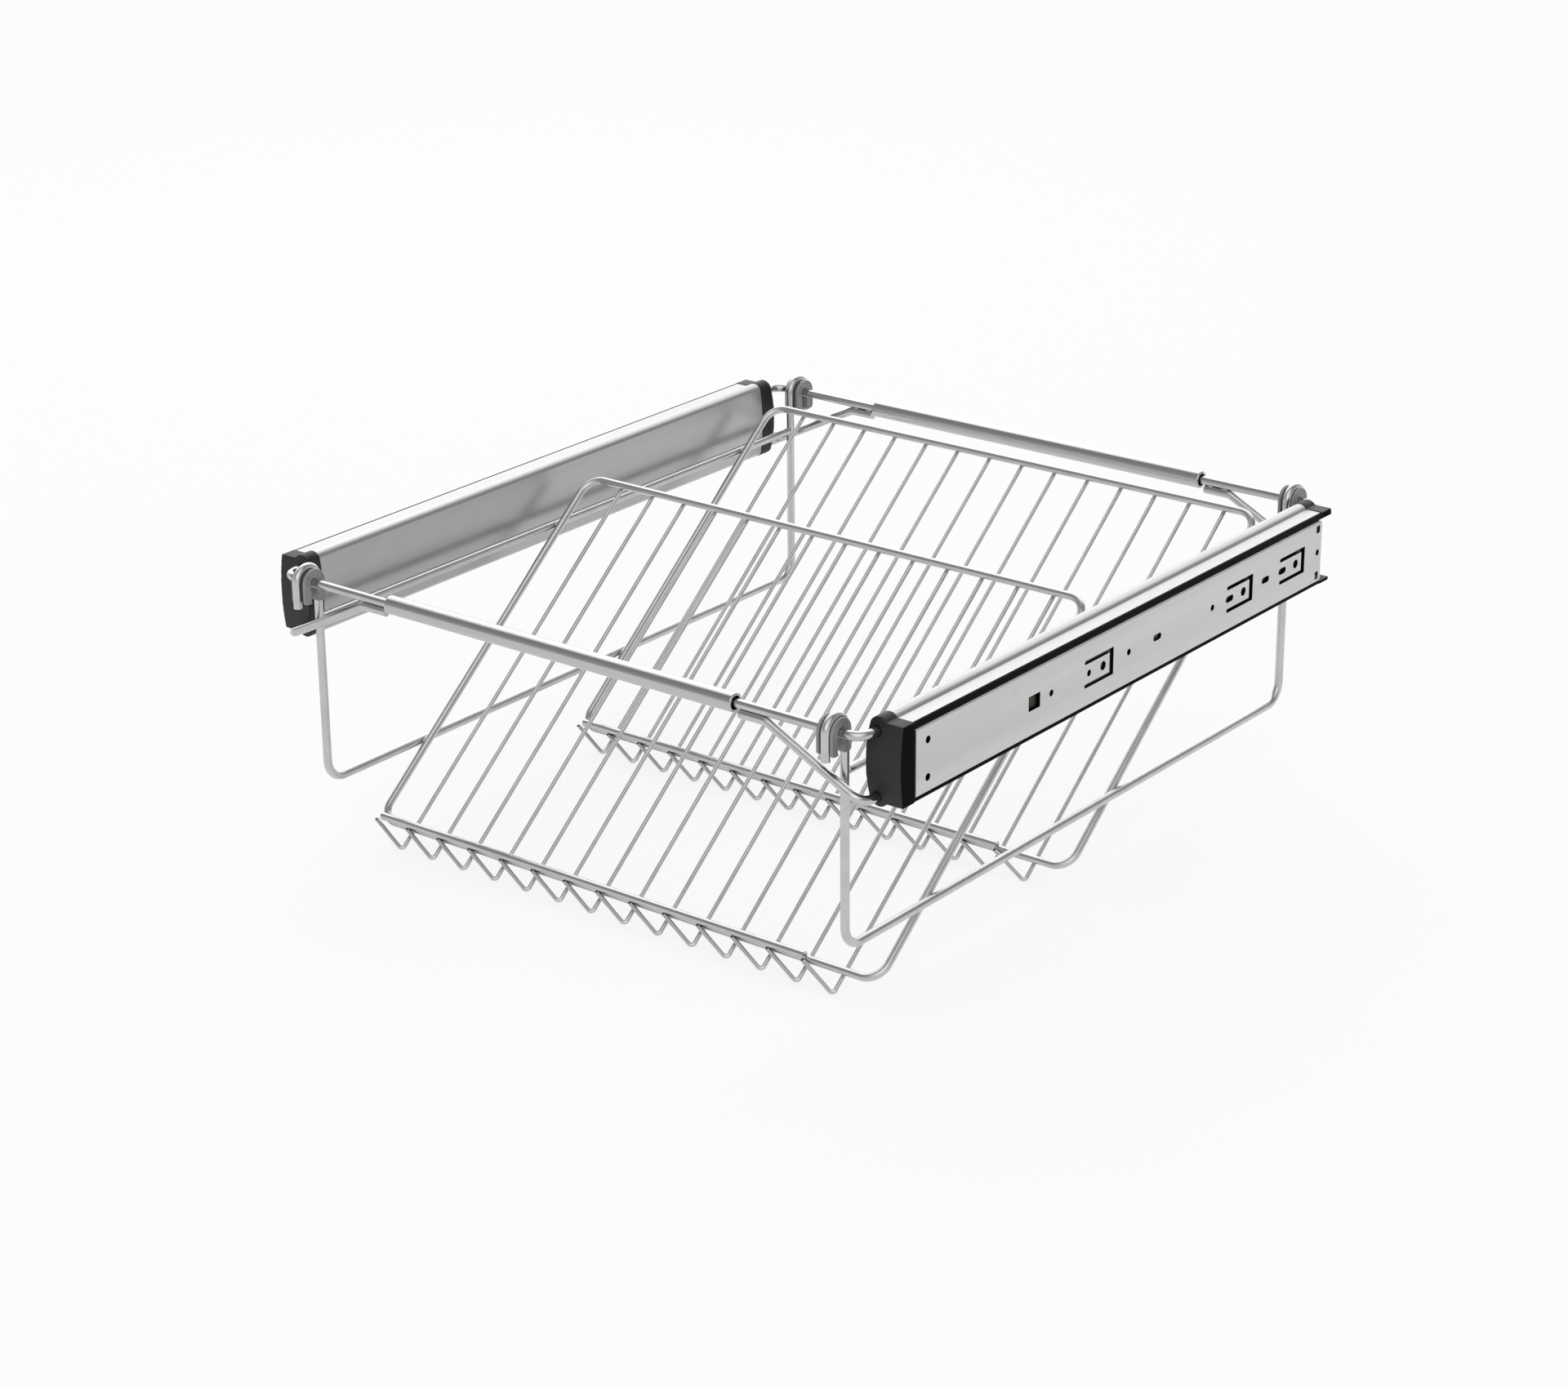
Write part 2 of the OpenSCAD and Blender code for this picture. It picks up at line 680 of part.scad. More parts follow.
cabinet_rail();  // cabinet_rail_l
outer_cage();  // outer_cage_l
outer_balls();  // outer_balls_l
middle_rail();  // middle_rail_l
inner_cage();  // inner_cage_l
inner_balls();  // inner_balls_l
inner_rail();  // inner_rail_l
slide_bumper();  // slide_bumper_l
rivets();  // rivets_l
profile();  // profile_l
top_strip();  // top_strip_l
bottom_strip();  // bottom_strip_l
front_cap();  // front_cap_l
at_rear() rear_cap();  // rear_cap_l
arm();  // front_arm_l
brace();  // front_brace_l
at_rear() arm();  // rear_arm_l
at_rear() brace();  // rear_brace_l
right_side() cabinet_rail();  // cabinet_rail_r
right_side() outer_cage();  // outer_cage_r
right_side() outer_balls();  // outer_balls_r
right_side() middle_rail();  // middle_rail_r
right_side() inner_cage();  // inner_cage_r
right_side() inner_balls();  // inner_balls_r
right_side() inner_rail();  // inner_rail_r
right_side() slide_bumper();  // slide_bumper_r
right_side() rivets();  // rivets_r
right_side() profile();  // profile_r
right_side() top_strip();  // top_strip_r
right_side() bottom_strip();  // bottom_strip_r
right_side() front_cap();  // front_cap_r
right_side() at_rear() rear_cap();  // rear_cap_r
right_side() arm();  // front_arm_r
right_side() brace();  // front_brace_r
right_side() at_rear() arm();  // rear_arm_r
right_side() at_rear() brace();  // rear_brace_r
tube();  // front_tube
at_rear() tube();  // rear_tube
side_frame();  // side_frame_l
upper_rail();  // upper_rail_l
saddle();  // front_saddle_l
at_rear() saddle();  // rear_saddle_l
right_side() side_frame();  // side_frame_r
right_side() upper_rail();  // upper_rail_r
right_side() saddle();  // front_saddle_r
right_side() at_rear() saddle();  // rear_saddle_r
shelf_frame(0);  // front_shelf_frame
shelf_slats(0);  // front_shelf_slats
heel_bar(0);  // front_heel_bar
shelf_frame(1);  // rear_shelf_frame
shelf_slats(1);  // rear_shelf_slats
heel_bar(1);  // rear_heel_bar
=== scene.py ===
import json
import math

import bmesh
import bpy
from mathutils import Matrix, Vector, noise


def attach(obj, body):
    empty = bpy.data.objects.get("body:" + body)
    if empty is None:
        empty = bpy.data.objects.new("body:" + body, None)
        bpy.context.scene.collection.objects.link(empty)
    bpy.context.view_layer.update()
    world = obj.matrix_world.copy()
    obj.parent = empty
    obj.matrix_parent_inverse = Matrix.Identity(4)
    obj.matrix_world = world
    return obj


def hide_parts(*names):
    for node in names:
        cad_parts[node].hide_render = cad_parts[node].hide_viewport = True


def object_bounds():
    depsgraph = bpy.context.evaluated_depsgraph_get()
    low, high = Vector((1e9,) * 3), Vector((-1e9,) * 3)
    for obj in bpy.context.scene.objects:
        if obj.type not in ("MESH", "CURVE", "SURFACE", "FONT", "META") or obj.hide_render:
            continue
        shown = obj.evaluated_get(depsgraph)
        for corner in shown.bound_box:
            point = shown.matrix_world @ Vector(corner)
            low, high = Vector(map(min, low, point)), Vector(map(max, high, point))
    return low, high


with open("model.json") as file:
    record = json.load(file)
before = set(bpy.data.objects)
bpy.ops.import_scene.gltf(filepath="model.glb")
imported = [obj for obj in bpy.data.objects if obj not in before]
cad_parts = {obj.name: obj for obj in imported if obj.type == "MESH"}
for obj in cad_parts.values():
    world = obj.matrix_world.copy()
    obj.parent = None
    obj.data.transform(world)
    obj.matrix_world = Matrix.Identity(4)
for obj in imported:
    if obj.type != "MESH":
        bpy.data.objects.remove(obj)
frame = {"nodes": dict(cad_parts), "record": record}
nodes = frame["nodes"]
record = frame["record"]
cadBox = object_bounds()
print("frame loaded:", len(nodes), "nodes")

mm = 0.001
scene = bpy.context.scene
scene.view_settings.view_transform = "Standard"
bodyOf = {name: body for body, carried in record["behaviour"]["bodies"].items() for name in carried}
slotOf = {part["node"]: part["material_slot"] for part in record["subparts"]}


# An sRGB hex value as linear light
def linear(hexColour):
    channels = [int(hexColour[i:i + 2], 16) / 255 for i in (1, 3, 5)]
    return (*[c / 12.92 if c <= 0.04045 else ((c + 0.055) / 1.055) ** 2.4 for c in channels], 1)


# A node with its settings, its fixed or linked inputs and, for a colour ramp, its stops
def addNode(tree, kind, inputs=None, stops=(), **settings):
    made = tree.nodes.new(kind)
    for name, value in settings.items():
        setattr(made, name, value)
    for name, value in (inputs or {}).items():
        if isinstance(value, bpy.types.NodeSocket):
            tree.links.new(value, made.inputs[name])
        else:
            made.inputs[name].default_value = value
    for spare in range(len(stops) - 2):
        made.color_ramp.elements.new(0.5)
    for element, (position, colour) in zip(made.color_ramp.elements if stops else (), stops):
        element.position = position
        element.color = linear(colour)
    return made


# A material with its shader and its output; returns object coordinates to build patterns on.
# The default IOR stays: metals need no other, and nylon, acetal and PVC are all close to 1.5
def newMaterial(name, metallic, roughness, colour):
    material = bpy.data.materials.new(name)
    material.use_nodes = True
    tree = material.node_tree
    tree.nodes.clear()
    shader = addNode(tree, "ShaderNodeBsdfPrincipled", {
        "Metallic": metallic, "Roughness": roughness, "Base Color": linear(colour)})
    addNode(tree, "ShaderNodeOutputMaterial", {"Surface": shader.outputs[0]})
    place = addNode(tree, "ShaderNodeTexCoord").outputs["Object"]
    return material, tree, shader, place


# Noise scale that gives features of this size
def perMetre(sizeMm):
    return 1 / (sizeMm * mm)


# The camera solved from the photograph's straight lines, in metres
cameraValues = {
    "place": (1.6071, -1.7787, 0.8050),
    "right": (0.79001, 0.61305, -0.00737),
    "up": (-0.22133, 0.29639, 0.92907),
    "forward": (-0.57175, 0.73234, -0.36984),
    "focalPixels": 4514.7,
    "imageWidth": 1920,
    "sensorWidth": 36,
}


def addCamera(values):
    data = bpy.data.cameras.new("camera")
    data.sensor_width = values["sensorWidth"]
    data.lens = values["focalPixels"] * values["sensorWidth"] / values["imageWidth"]
    camera = bpy.data.objects.new("camera", data)
    right, up, forward = (Vector(values[k]) for k in ("right", "up", "forward"))
    turn = Matrix((right, up, -forward)).transposed().to_4x4()
    camera.matrix_world = Matrix.Translation(values["place"]) @ turn
    scene.collection.objects.link(camera)
    scene.camera = camera


addCamera(cameraValues)
print("camera set")


studioValues = {
    "middle": (0.244, 0, -0.05),
    "floorSize": 14,
    "floorColour": "#f4f4f4",
    "floorRoughness": 0.9,
    # what the floor shows of itself; the rest is lit, so the shadow stays faint
    "floorGlow": 0.78,
    "floorLit": "#7c7c7c",
    # the room as the metal sees it, by the height of the direction
    "sky": [(0.0, "#ffffff"), (0.1, "#dcdcdc"), (0.25, "#b4b4b4"), (0.6, "#a0a0a0"), (0.95, "#8c8c8c")],
    "softboxes": [
        # direction, half angle where it starts and where it is full, brightness
        ((-0.55, 0.66, 0.52), 52, 34, 1.7),
        ((0.33, -0.57, 0.75), 46, 26, 1.1),
    ],
    "lamps": {
        # place, width, height, watts
        "keySoftbox": ((-1.2, 1.2, 1.7), 1.4, 1.0, 4),
        "frontFill": ((1.5, -2.0, 1.4), 1.6, 1.2, 3),
    },
}


def addFloor(values):
    underneath = (values["middle"][0], 0, cadBox[0][2])
    bpy.ops.mesh.primitive_plane_add(size=values["floorSize"], location=underneath)
    floor = bpy.context.object
    floor.name = "studioFloor"
    material, tree, shader, place = newMaterial(
        "mattPaper", 0, values["floorRoughness"], values["floorColour"])
    floor.data.materials.append(material)
    # Camera and metal see paper that is nearly white by itself; other light meets plain paper
    path = addNode(tree, "ShaderNodeLightPath")
    seen = addNode(tree, "ShaderNodeMath", {
        0: path.outputs["Is Camera Ray"], 1: path.outputs["Is Glossy Ray"]}, operation="MAXIMUM")
    seen = addNode(tree, "ShaderNodeMath", {
        0: seen.outputs[0], 1: path.outputs["Is Transmission Ray"]}, operation="MAXIMUM")
    lit = addNode(tree, "ShaderNodeBsdfDiffuse", {"Color": linear(values["floorLit"])})
    glow = addNode(tree, "ShaderNodeEmission", {"Strength": values["floorGlow"]})
    pale = addNode(tree, "ShaderNodeAddShader", {0: lit.outputs[0], 1: glow.outputs[0]})
    paper = addNode(tree, "ShaderNodeMixShader", {
        0: seen.outputs[0], 1: shader.outputs[0], 2: pale.outputs[0]})
    output = next(n for n in tree.nodes if n.type == "OUTPUT_MATERIAL")
    tree.links.new(paper.outputs[0], output.inputs["Surface"])


def addWorld(values):
    world = bpy.data.worlds.new("studioRoom")
    scene.world = world
    world.use_nodes = True
    tree = world.node_tree
    tree.nodes.clear()
    way = addNode(tree, "ShaderNodeTexCoord").outputs["Generated"]
    height = addNode(tree, "ShaderNodeSeparateXYZ", {"Vector": way}).outputs["Z"]
    sky = addNode(tree, "ShaderNodeValToRGB", {"Fac": height}, stops=values["sky"])
    light = addNode(tree, "ShaderNodeBackground", {"Color": sky.outputs["Color"]})
    for direction, starts, full, brightness in values["softboxes"]:
        facing = addNode(tree, "ShaderNodeVectorMath", {
            0: way, 1: Vector(direction).normalized()}, operation="DOT_PRODUCT")
        amount = addNode(tree, "ShaderNodeMapRange", {
            "Value": facing.outputs["Value"], "To Max": brightness,
            "From Min": math.cos(math.radians(starts)), "From Max": math.cos(math.radians(full))},
            interpolation_type="SMOOTHSTEP")
        box = addNode(tree, "ShaderNodeBackground", {"Strength": amount.outputs[0]})
        light = addNode(tree, "ShaderNodeAddShader", {0: light.outputs[0], 1: box.outputs[0]})
    addNode(tree, "ShaderNodeOutputWorld", {"Surface": light.outputs[0]})


def addLamps(values):
    for name, (place, width, height, watts) in values["lamps"].items():
        data = bpy.data.lights.new(name, "AREA")
        data.shape = "RECTANGLE"
        data.size, data.size_y, data.energy = width, height, watts
        lamp = bpy.data.objects.new(name, data)
        lamp.location = place
        aim = Vector(values["middle"]) - Vector(place)
        lamp.rotation_euler = aim.to_track_quat("-Z", "Y").to_euler()
        scene.collection.objects.link(lamp)


addFloor(studioValues)
addWorld(studioValues)
addLamps(studioValues)
print("studio set")


# Low-carbon wire, drawn and welded, then nickel plated: a satin grey-white whose plate is a
# little uneven, so that highlights stay soft and break up slightly along the wire
nickelWireValues = {
    "colour": "#c4c4c4", "hazeColour": "#bcbcba", "roughness": 0.23,
    "hazeMm": 16, "grainMm": 0.9, "grainDepthMm": 0.003, "scratches": 0.15}
# Chrome plate over polished wire: the hardest highlights on the piece
chromeArmValues = {
    "colour": "#c0c0c1", "hazeColour": "#b6b6b7", "roughness": 0.17,
    "hazeMm": 20, "grainMm": 1.2, "grainDepthMm": 0.003, "scratches": 0.2}
# Chrome plated tube, polished along its length: the same plate, drawn out in fine lines
chromeTubeValues = {
    "colour": "#bebebf", "hazeColour": "#b4b4b5", "roughness": 0.20,
    "hazeMm": 18, "grainMm": 0.8, "grainDepthMm": 0.004, "scratches": 0.35}
# Bright zinc on cold-rolled sheet: flat light grey with a fine rolled grain along the slide
zincSheetValues = {
    "colour": "#cfcfce", "hazeColour": "#c9c9c8", "roughness": 0.45,
    "hazeMm": 24, "grainMm": 0.8, "grainDepthMm": 0.004, "scratches": 0.5}
# Zinc plate inside the slide under ball grease: nearly black as painted shade of the slide's inside seen
# through the holes, wet in streaks along the travel
slideInsideShadeValues = {
    "colour": "#45443f", "hazeColour": "#2b2a28", "roughness": 0.36,
    "hazeMm": 9, "grainMm": 1.5, "grainDepthMm": 0.012, "scratches": 0.3}
# Natural anodised aluminium, extruded: soft blurred reflections and die lines along the length
anodisedValues = {
    "colour": "#b8b8b9", "hazeColour": "#b0b0b1", "roughness": 0.33,
    "hazeMm": 34, "grainMm": 0.7, "grainDepthMm": 0.004, "scratches": 0.25}
# Hardened balls, ground and polished: small sharp glints
ballValues = {
    "colour": "#cfcfd1", "hazeColour": "#c6c6c8", "roughness": 0.08,
    "hazeMm": 4, "grainMm": 0.6, "grainDepthMm": 0.001, "scratches": 0.1}
# Nickel over a cropped wire end and its weld flash, dull and pitted; dark partly as the raw cut end and
# partly as painted shade of the notch it sits in
cropAndNotchShadeValues = {
    "colour": "#626260", "hazeColour": "#454543", "roughness": 0.46,
    "hazeMm": 2.0, "grainMm": 0.7, "grainDepthMm": 0.03, "scratches": 0.0}
# What the metals' patterns share. Real plate has finer grain and scratches, drawn here as
# coarse as they need to be to show at all
metalPatternValues = {
    "hazeDetail": 4.0, "hazeRoughness": 0.6, "hazeSpan": (0.35, 0.65),
    "grainDetail": 2.0, "bumpStrength": 0.5,
    "scratchSize": 3,                   # times the grain
    "scratchDetail": 3.0, "scratchRoughness": 0.7,
    "scratchSpan": (0.485, 0.5, 0.515),     # start, middle and end of a line in the noise
    "scratchDulls": 0.3,
    "unevenSpan": (0.6, 1.4), "roughnessSpread": (0.82, 1.2),
}


# A plated or anodised metal. stretch draws the pattern out along one axis: haze clouds the
# colour and gloss, grain is the fine unevenness of the surface, scratches dull it in thin lines
def platedMetal(name, values, stretch=(1, 1, 1)):
    material, tree, shader, place = newMaterial(name, 1.0, values["roughness"], values["colour"])
    along = addNode(tree, "ShaderNodeMapping", {"Vector": place, "Scale": stretch}).outputs[0]
    shared = metalPatternValues
    haze = addNode(tree, "ShaderNodeTexNoise", {
        "Vector": along, "Scale": perMetre(values["hazeMm"]),
        "Detail": shared["hazeDetail"], "Roughness": shared["hazeRoughness"]})
    grain = addNode(tree, "ShaderNodeTexNoise", {
        "Vector": along, "Scale": perMetre(values["grainMm"]), "Detail": shared["grainDetail"]})
    lines = addNode(tree, "ShaderNodeTexNoise", {
        "Vector": along, "Scale": perMetre(values["grainMm"] * shared["scratchSize"]),
        "Detail": shared["scratchDetail"], "Roughness": shared["scratchRoughness"]})
    starts, middle, ends = shared["scratchSpan"]
    thin = addNode(tree, "ShaderNodeValToRGB", {"Fac": lines.outputs["Fac"]}, stops=[
        (0.0, "#000000"), (starts, "#000000"), (middle, "#ffffff"), (ends, "#000000"), (1.0, "#000000")])
    clear, hazy = shared["hazeSpan"]
    colour = addNode(tree, "ShaderNodeValToRGB", {"Fac": haze.outputs["Fac"]}, stops=[
        (clear, values["colour"]), (hazy, values["hazeColour"])])
    tree.links.new(colour.outputs["Color"], shader.inputs["Base Color"])
    both = addNode(tree, "ShaderNodeMath", {
        0: haze.outputs["Fac"], 1: grain.outputs["Fac"]}, operation="ADD")
    lowest, highest = shared["unevenSpan"]
    glossier, duller = shared["roughnessSpread"]
    rough = addNode(tree, "ShaderNodeMapRange", {
        "Value": both.outputs[0], "From Min": lowest, "From Max": highest,
        "To Min": values["roughness"] * glossier, "To Max": values["roughness"] * duller})
    dulled = addNode(tree, "ShaderNodeMath", {
        0: thin.outputs["Color"], 1: values["scratches"] * shared["scratchDulls"],
        2: rough.outputs[0]}, operation="MULTIPLY_ADD")
    tree.links.new(dulled.outputs[0], shader.inputs["Roughness"])
    bump = addNode(tree, "ShaderNodeBump", {
        "Height": grain.outputs["Fac"], "Strength": shared["bumpStrength"],
        "Distance": values["grainDepthMm"] * mm})
    tree.links.new(bump.outputs[0], shader.inputs["Normal"])
    return material


# Glass-filled nylon caps, spark-eroded mould: near black, the texture breaks the highlight up
capValues = {
    "colour": "#131314", "paleColour": "#19191a", "roughness": 0.48, "specular": 0.4,
    "grainMm": 0.55, "grainDepthMm": 0.02, "flowMm": 14}
# The caps' flat side against the cabinet wall: near black as painted shade, rough from the mould's
# parting face, no shine at all
capSideShadeValues = {
    "colour": "#0a0a0a", "paleColour": "#0f0f0f", "roughness": 0.8, "specular": 0.05,
    "grainMm": 0.6, "grainDepthMm": 0.01, "flowMm": 14,
    "facesWallOver": 0.8}               # how squarely a face looks at the wall, 1 at the most
# Extruded soft PVC strips at the profile's edges: deep black as painted shade of the gap between profile
# and rail, with little shine and faint drag lines
shadeStripValues = {
    "colour": "#070707", "paleColour": "#0c0c0c", "roughness": 0.5, "specular": 0.03,
    "grainMm": 0.6, "grainDepthMm": 0.008, "flowMm": 10}
# Acetal saddles: mid grey, smooth moulded, a soft broad sheen and faint flow marks
saddleValues = {
    "colour": "#838383", "paleColour": "#8e8e8e", "roughness": 0.35, "specular": 0.5,
    "grainMm": 0.9, "grainDepthMm": 0.006, "flowMm": 5}
# Rubber stop: dead matt with a bloom
rubberValues = {
    "colour": "#141414", "paleColour": "#1f1f1f", "roughness": 0.82, "specular": 0.5,
    "grainMm": 0.6, "grainDepthMm": 0.03, "flowMm": 6}
# What the plastics' patterns share. Real mould texture is finer, and is drawn here as coarse
# as it needs to be to show at all
plasticPatternValues = {
    "grainDetail": 3.0, "grainRoughness": 0.55, "bumpStrength": 0.5,
    "flowDetail": 2.0, "flowTwist": 0.8, "paleSpan": (0.35, 0.7),
    "flowSpan": (0.3, 0.7), "roughnessSpread": (0.9, 1.15),
}


def mouldedPlastic(name, values, stretch=(1, 1, 1)):
    material, tree, shader, place = newMaterial(name, 0.0, values["roughness"], values["colour"])
    shader.inputs["Specular IOR Level"].default_value = values["specular"]
    along = addNode(tree, "ShaderNodeMapping", {"Vector": place, "Scale": stretch}).outputs[0]
    shared = plasticPatternValues
    grain = addNode(tree, "ShaderNodeTexNoise", {
        "Vector": along, "Scale": perMetre(values["grainMm"]),
        "Detail": shared["grainDetail"], "Roughness": shared["grainRoughness"]})
    flow = addNode(tree, "ShaderNodeTexNoise", {
        "Vector": along, "Scale": perMetre(values["flowMm"]),
        "Detail": shared["flowDetail"], "Distortion": shared["flowTwist"]})
    dark, pale = shared["paleSpan"]
    colour = addNode(tree, "ShaderNodeValToRGB", {"Fac": flow.outputs["Fac"]}, stops=[
        (dark, values["colour"]), (pale, values["paleColour"])])
    tree.links.new(colour.outputs["Color"], shader.inputs["Base Color"])
    lowest, highest = shared["flowSpan"]
    glossier, duller = shared["roughnessSpread"]
    rough = addNode(tree, "ShaderNodeMapRange", {
        "Value": flow.outputs["Fac"], "From Min": lowest, "From Max": highest,
        "To Min": values["roughness"] * glossier, "To Max": values["roughness"] * duller})
    tree.links.new(rough.outputs[0], shader.inputs["Roughness"])
    bump = addNode(tree, "ShaderNodeBump", {
        "Height": grain.outputs["Fac"], "Strength": shared["bumpStrength"],
        "Distance": values["grainDepthMm"] * mm})
    tree.links.new(bump.outputs[0], shader.inputs["Normal"])
    return material


# Walls of the holes punched through the cabinet members' plates: dark as painted shade inside the holes,
# and dull from the torn metal and press oil
holeWallShadeValues = {
    "colour": "#2b2b2a", "roughness": 0.7,
    # the middle of the cabinet, how far from it the plates begin, and the frame their holes lie in
    "plateMiddleMm": 244, "wallsFromMm": 242.7, "halfHeightMm": 18.7, "halfLengthMm": 223.5,
    "facesWallUnder": 0.5}              # a hole's wall looks along the plate, not out of it


# Paints shade onto the walls of the plates' holes, and makes them rougher
def addHoleWallShade(material, values):
    tree = material.node_tree
    shader = next(n for n in tree.nodes if n.type == "BSDF_PRINCIPLED")
    coordinates = addNode(tree, "ShaderNodeTexCoord")
    facing = addNode(tree, "ShaderNodeSeparateXYZ", {"Vector": coordinates.outputs["Normal"]})
    place = addNode(tree, "ShaderNodeSeparateXYZ", {"Vector": coordinates.outputs["Object"]})
    across = addNode(tree, "ShaderNodeMath", {
        0: place.outputs["X"], 1: values["plateMiddleMm"] * mm}, operation="SUBTRACT")
    tests = (
        (facing.outputs["X"], values["facesWallUnder"], "LESS_THAN"),
        (across.outputs[0], values["wallsFromMm"] * mm, "GREATER_THAN"),
        (place.outputs["Z"], values["halfHeightMm"] * mm, "LESS_THAN"),
        (place.outputs["Y"], values["halfLengthMm"] * mm, "LESS_THAN"),
    )
    shadedWall = 1.0
    for value, limit, sense in tests:
        size = addNode(tree, "ShaderNodeMath", {0: value}, operation="ABSOLUTE")
        inside = addNode(tree, "ShaderNodeMath", {0: size.outputs[0], 1: limit}, operation=sense)
        passed = addNode(tree, "ShaderNodeMath", {0: inside.outputs[0], 1: shadedWall}, operation="MULTIPLY")
        shadedWall = passed.outputs[0]
    for name, shadedAndDull in (("Base Color", linear(values["colour"])), ("Roughness", values["roughness"])):
        kind = "RGBA" if name == "Base Color" else "FLOAT"
        mixed = addNode(tree, "ShaderNodeMix", data_type=kind)
        sockets = [s for s in mixed.inputs if s.enabled]
        tree.links.new(shadedWall, sockets[0])
        tree.links.new(shader.inputs[name].links[0].from_socket, sockets[1])
        sockets[2].default_value = shadedAndDull
        tree.links.new(next(s for s in mixed.outputs if s.enabled), shader.inputs[name])


alongSlide = (1, 0.04, 1)       # patterns drawn out along the pull direction
alongTube = (0.04, 1, 1)

finishes = {
    "nickel_wire": platedMetal("drawnNickelWire", nickelWireValues),
    "bright_chrome": platedMetal("chromedWire", chromeArmValues),
    "zinc_plated_steel": platedMetal("zincPlatedSheet", zincSheetValues, alongSlide),
    "greased_steel": platedMetal("slideSteelPaintedShade", slideInsideShadeValues, alongSlide),
    "anodised_aluminium": platedMetal("anodisedExtrusion", anodisedValues, alongSlide),
    "ball_steel": platedMetal("bearingSteel", ballValues),
    "black_plastic": mouldedPlastic("sparkErodedNylon", capValues),
    "grey_plastic": mouldedPlastic("mouldedAcetal", saddleValues),
    "black_rubber": mouldedPlastic("mattRubber", rubberValues),
}
addHoleWallShade(finishes["zinc_plated_steel"], holeWallShadeValues)
ownFinishes = {
    "front_tube": platedMetal("polishedChromeTube", chromeTubeValues, alongTube),
    "top_strip_l": mouldedPlastic("stripPaintedShade", shadeStripValues, alongSlide),
}
ownFinishes["rear_tube"] = ownFinishes["front_tube"]
for name in ("top_strip_r", "bottom_strip_l", "bottom_strip_r"):
    ownFinishes[name] = ownFinishes["top_strip_l"]
# Dark tips: partly the cut end, partly painted shade of the notch
croppedTipAndShade = platedMetal("croppedTipNotchShade", cropAndNotchShadeValues)
# The caps' wall side, coloured near black as painted shade
capShadeMaterial = mouldedPlastic("mouldPartingFace", capSideShadeValues)


def finishOf(name):
    return ownFinishes.get(name, finishes[slotOf[name]])


for name, shown in nodes.items():
    shown.data.materials.clear()
    shown.data.materials.append(finishOf(name))
print("materials on", len(nodes), "nodes")


mouldedValues = {
    # voxel in mm, strength and rounds of smoothing, share of the faces kept
    "cap": (0.4, 0.5, 10, 0.3),
    "saddle": (0.25, 0.5, 5, 0.3),
}


# Gives the faces that lie along the cabinet wall the painted shade of the cap's side
def addCapSideShade(mesh):
    mesh.materials.append(capShadeMaterial)
    middle = holeWallShadeValues["plateMiddleMm"] * mm
    reach = holeWallShadeValues["wallsFromMm"] * mm
    for face in mesh.polygons:
        squarely = abs(face.normal.x) > capSideShadeValues["facesWallOver"]
        if squarely and abs(face.center.x - middle) > reach:
            face.material_index = 1


# Carries the CAD shape over with its edges rounded, as a mould leaves them
def addMoulded(name, voxel, strength, rounds, kept):
    piece = bpy.data.objects.new(name + ".moulded", nodes[name].data.copy())
    scene.collection.objects.link(piece)
    remesh = piece.modifiers.new("remesh", "REMESH")
    remesh.mode = "VOXEL"
    remesh.voxel_size = voxel * mm
    smooth = piece.modifiers.new("smooth", "SMOOTH")
    smooth.factor = strength
    smooth.iterations = rounds
    fewer = piece.modifiers.new("fewer", "DECIMATE")
    fewer.ratio = kept
    bpy.context.view_layer.update()
    graph = bpy.context.evaluated_depsgraph_get()
    solid = bpy.data.meshes.new_from_object(piece.evaluated_get(graph))
    piece.modifiers.clear()
    piece.data = solid
    solid.shade_smooth()
    solid.materials.clear()
    solid.materials.append(finishOf(name))
    if "cap" in name:
        addCapSideShade(solid)
    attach(piece, bodyOf[name])
    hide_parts(name)


for name in nodes:
    for kind, values in mouldedValues.items():
        if kind in name:
            addMoulded(name, *values)
print("moulded pieces rounded")


# The wires' places, repeated from the part's source, in mm and degrees
wireValues = {
    "cabinetWidth": 488, "sideInset": 37, "sideWire": 5.5, "uprightY": 242.5, "frameDrop": 119.1,
    "upperRailZ": -7.4, "shelfWire": 5, "slatWire": 2.8, "slatCount": 14, "tilt": 39.1,
    "shelfLength": 279, "shelfBelow": 61, "frontCross": 87.2, "shelfPitch": 201, "armShort": 0.9,
    "weldGap": 0.03, "armY": 251.5, "armZ": 20, "armWire": 5.8, "braceStart": 86, "braceEnd": 105,
}
weldValues = {
    "slatSpot": (3.2, 3.2, 0.9),        # flash squeezed out between two crossing wires
    "frameSpot": (4.2, 4.2, 1.3),
    "tipSpot": (3.0, 2.2, 2.4),         # cropped tip of a return arm, fused to the heel
    "seamSpot": (5.0, 1.6, 1.6),
    "seamAt": (0.2, 0.8),               # shares of the length along which brace and arm touch
    "seamInset": 1.0,
    "tipInset": 0.6,
    "tipDepth": 0.92,                   # share of the way down into the notch
    "uprightSwell": 1.06,               # times the upright's own diameter
    "uprightFlash": 1.6,
    "ballDetail": 2,
    "unevenness": 0.22,
    "lumps": 4,
    "seedStep": 7.1,                    # keeps the lumps of two spots apart
    "rearSeed": 40,
}


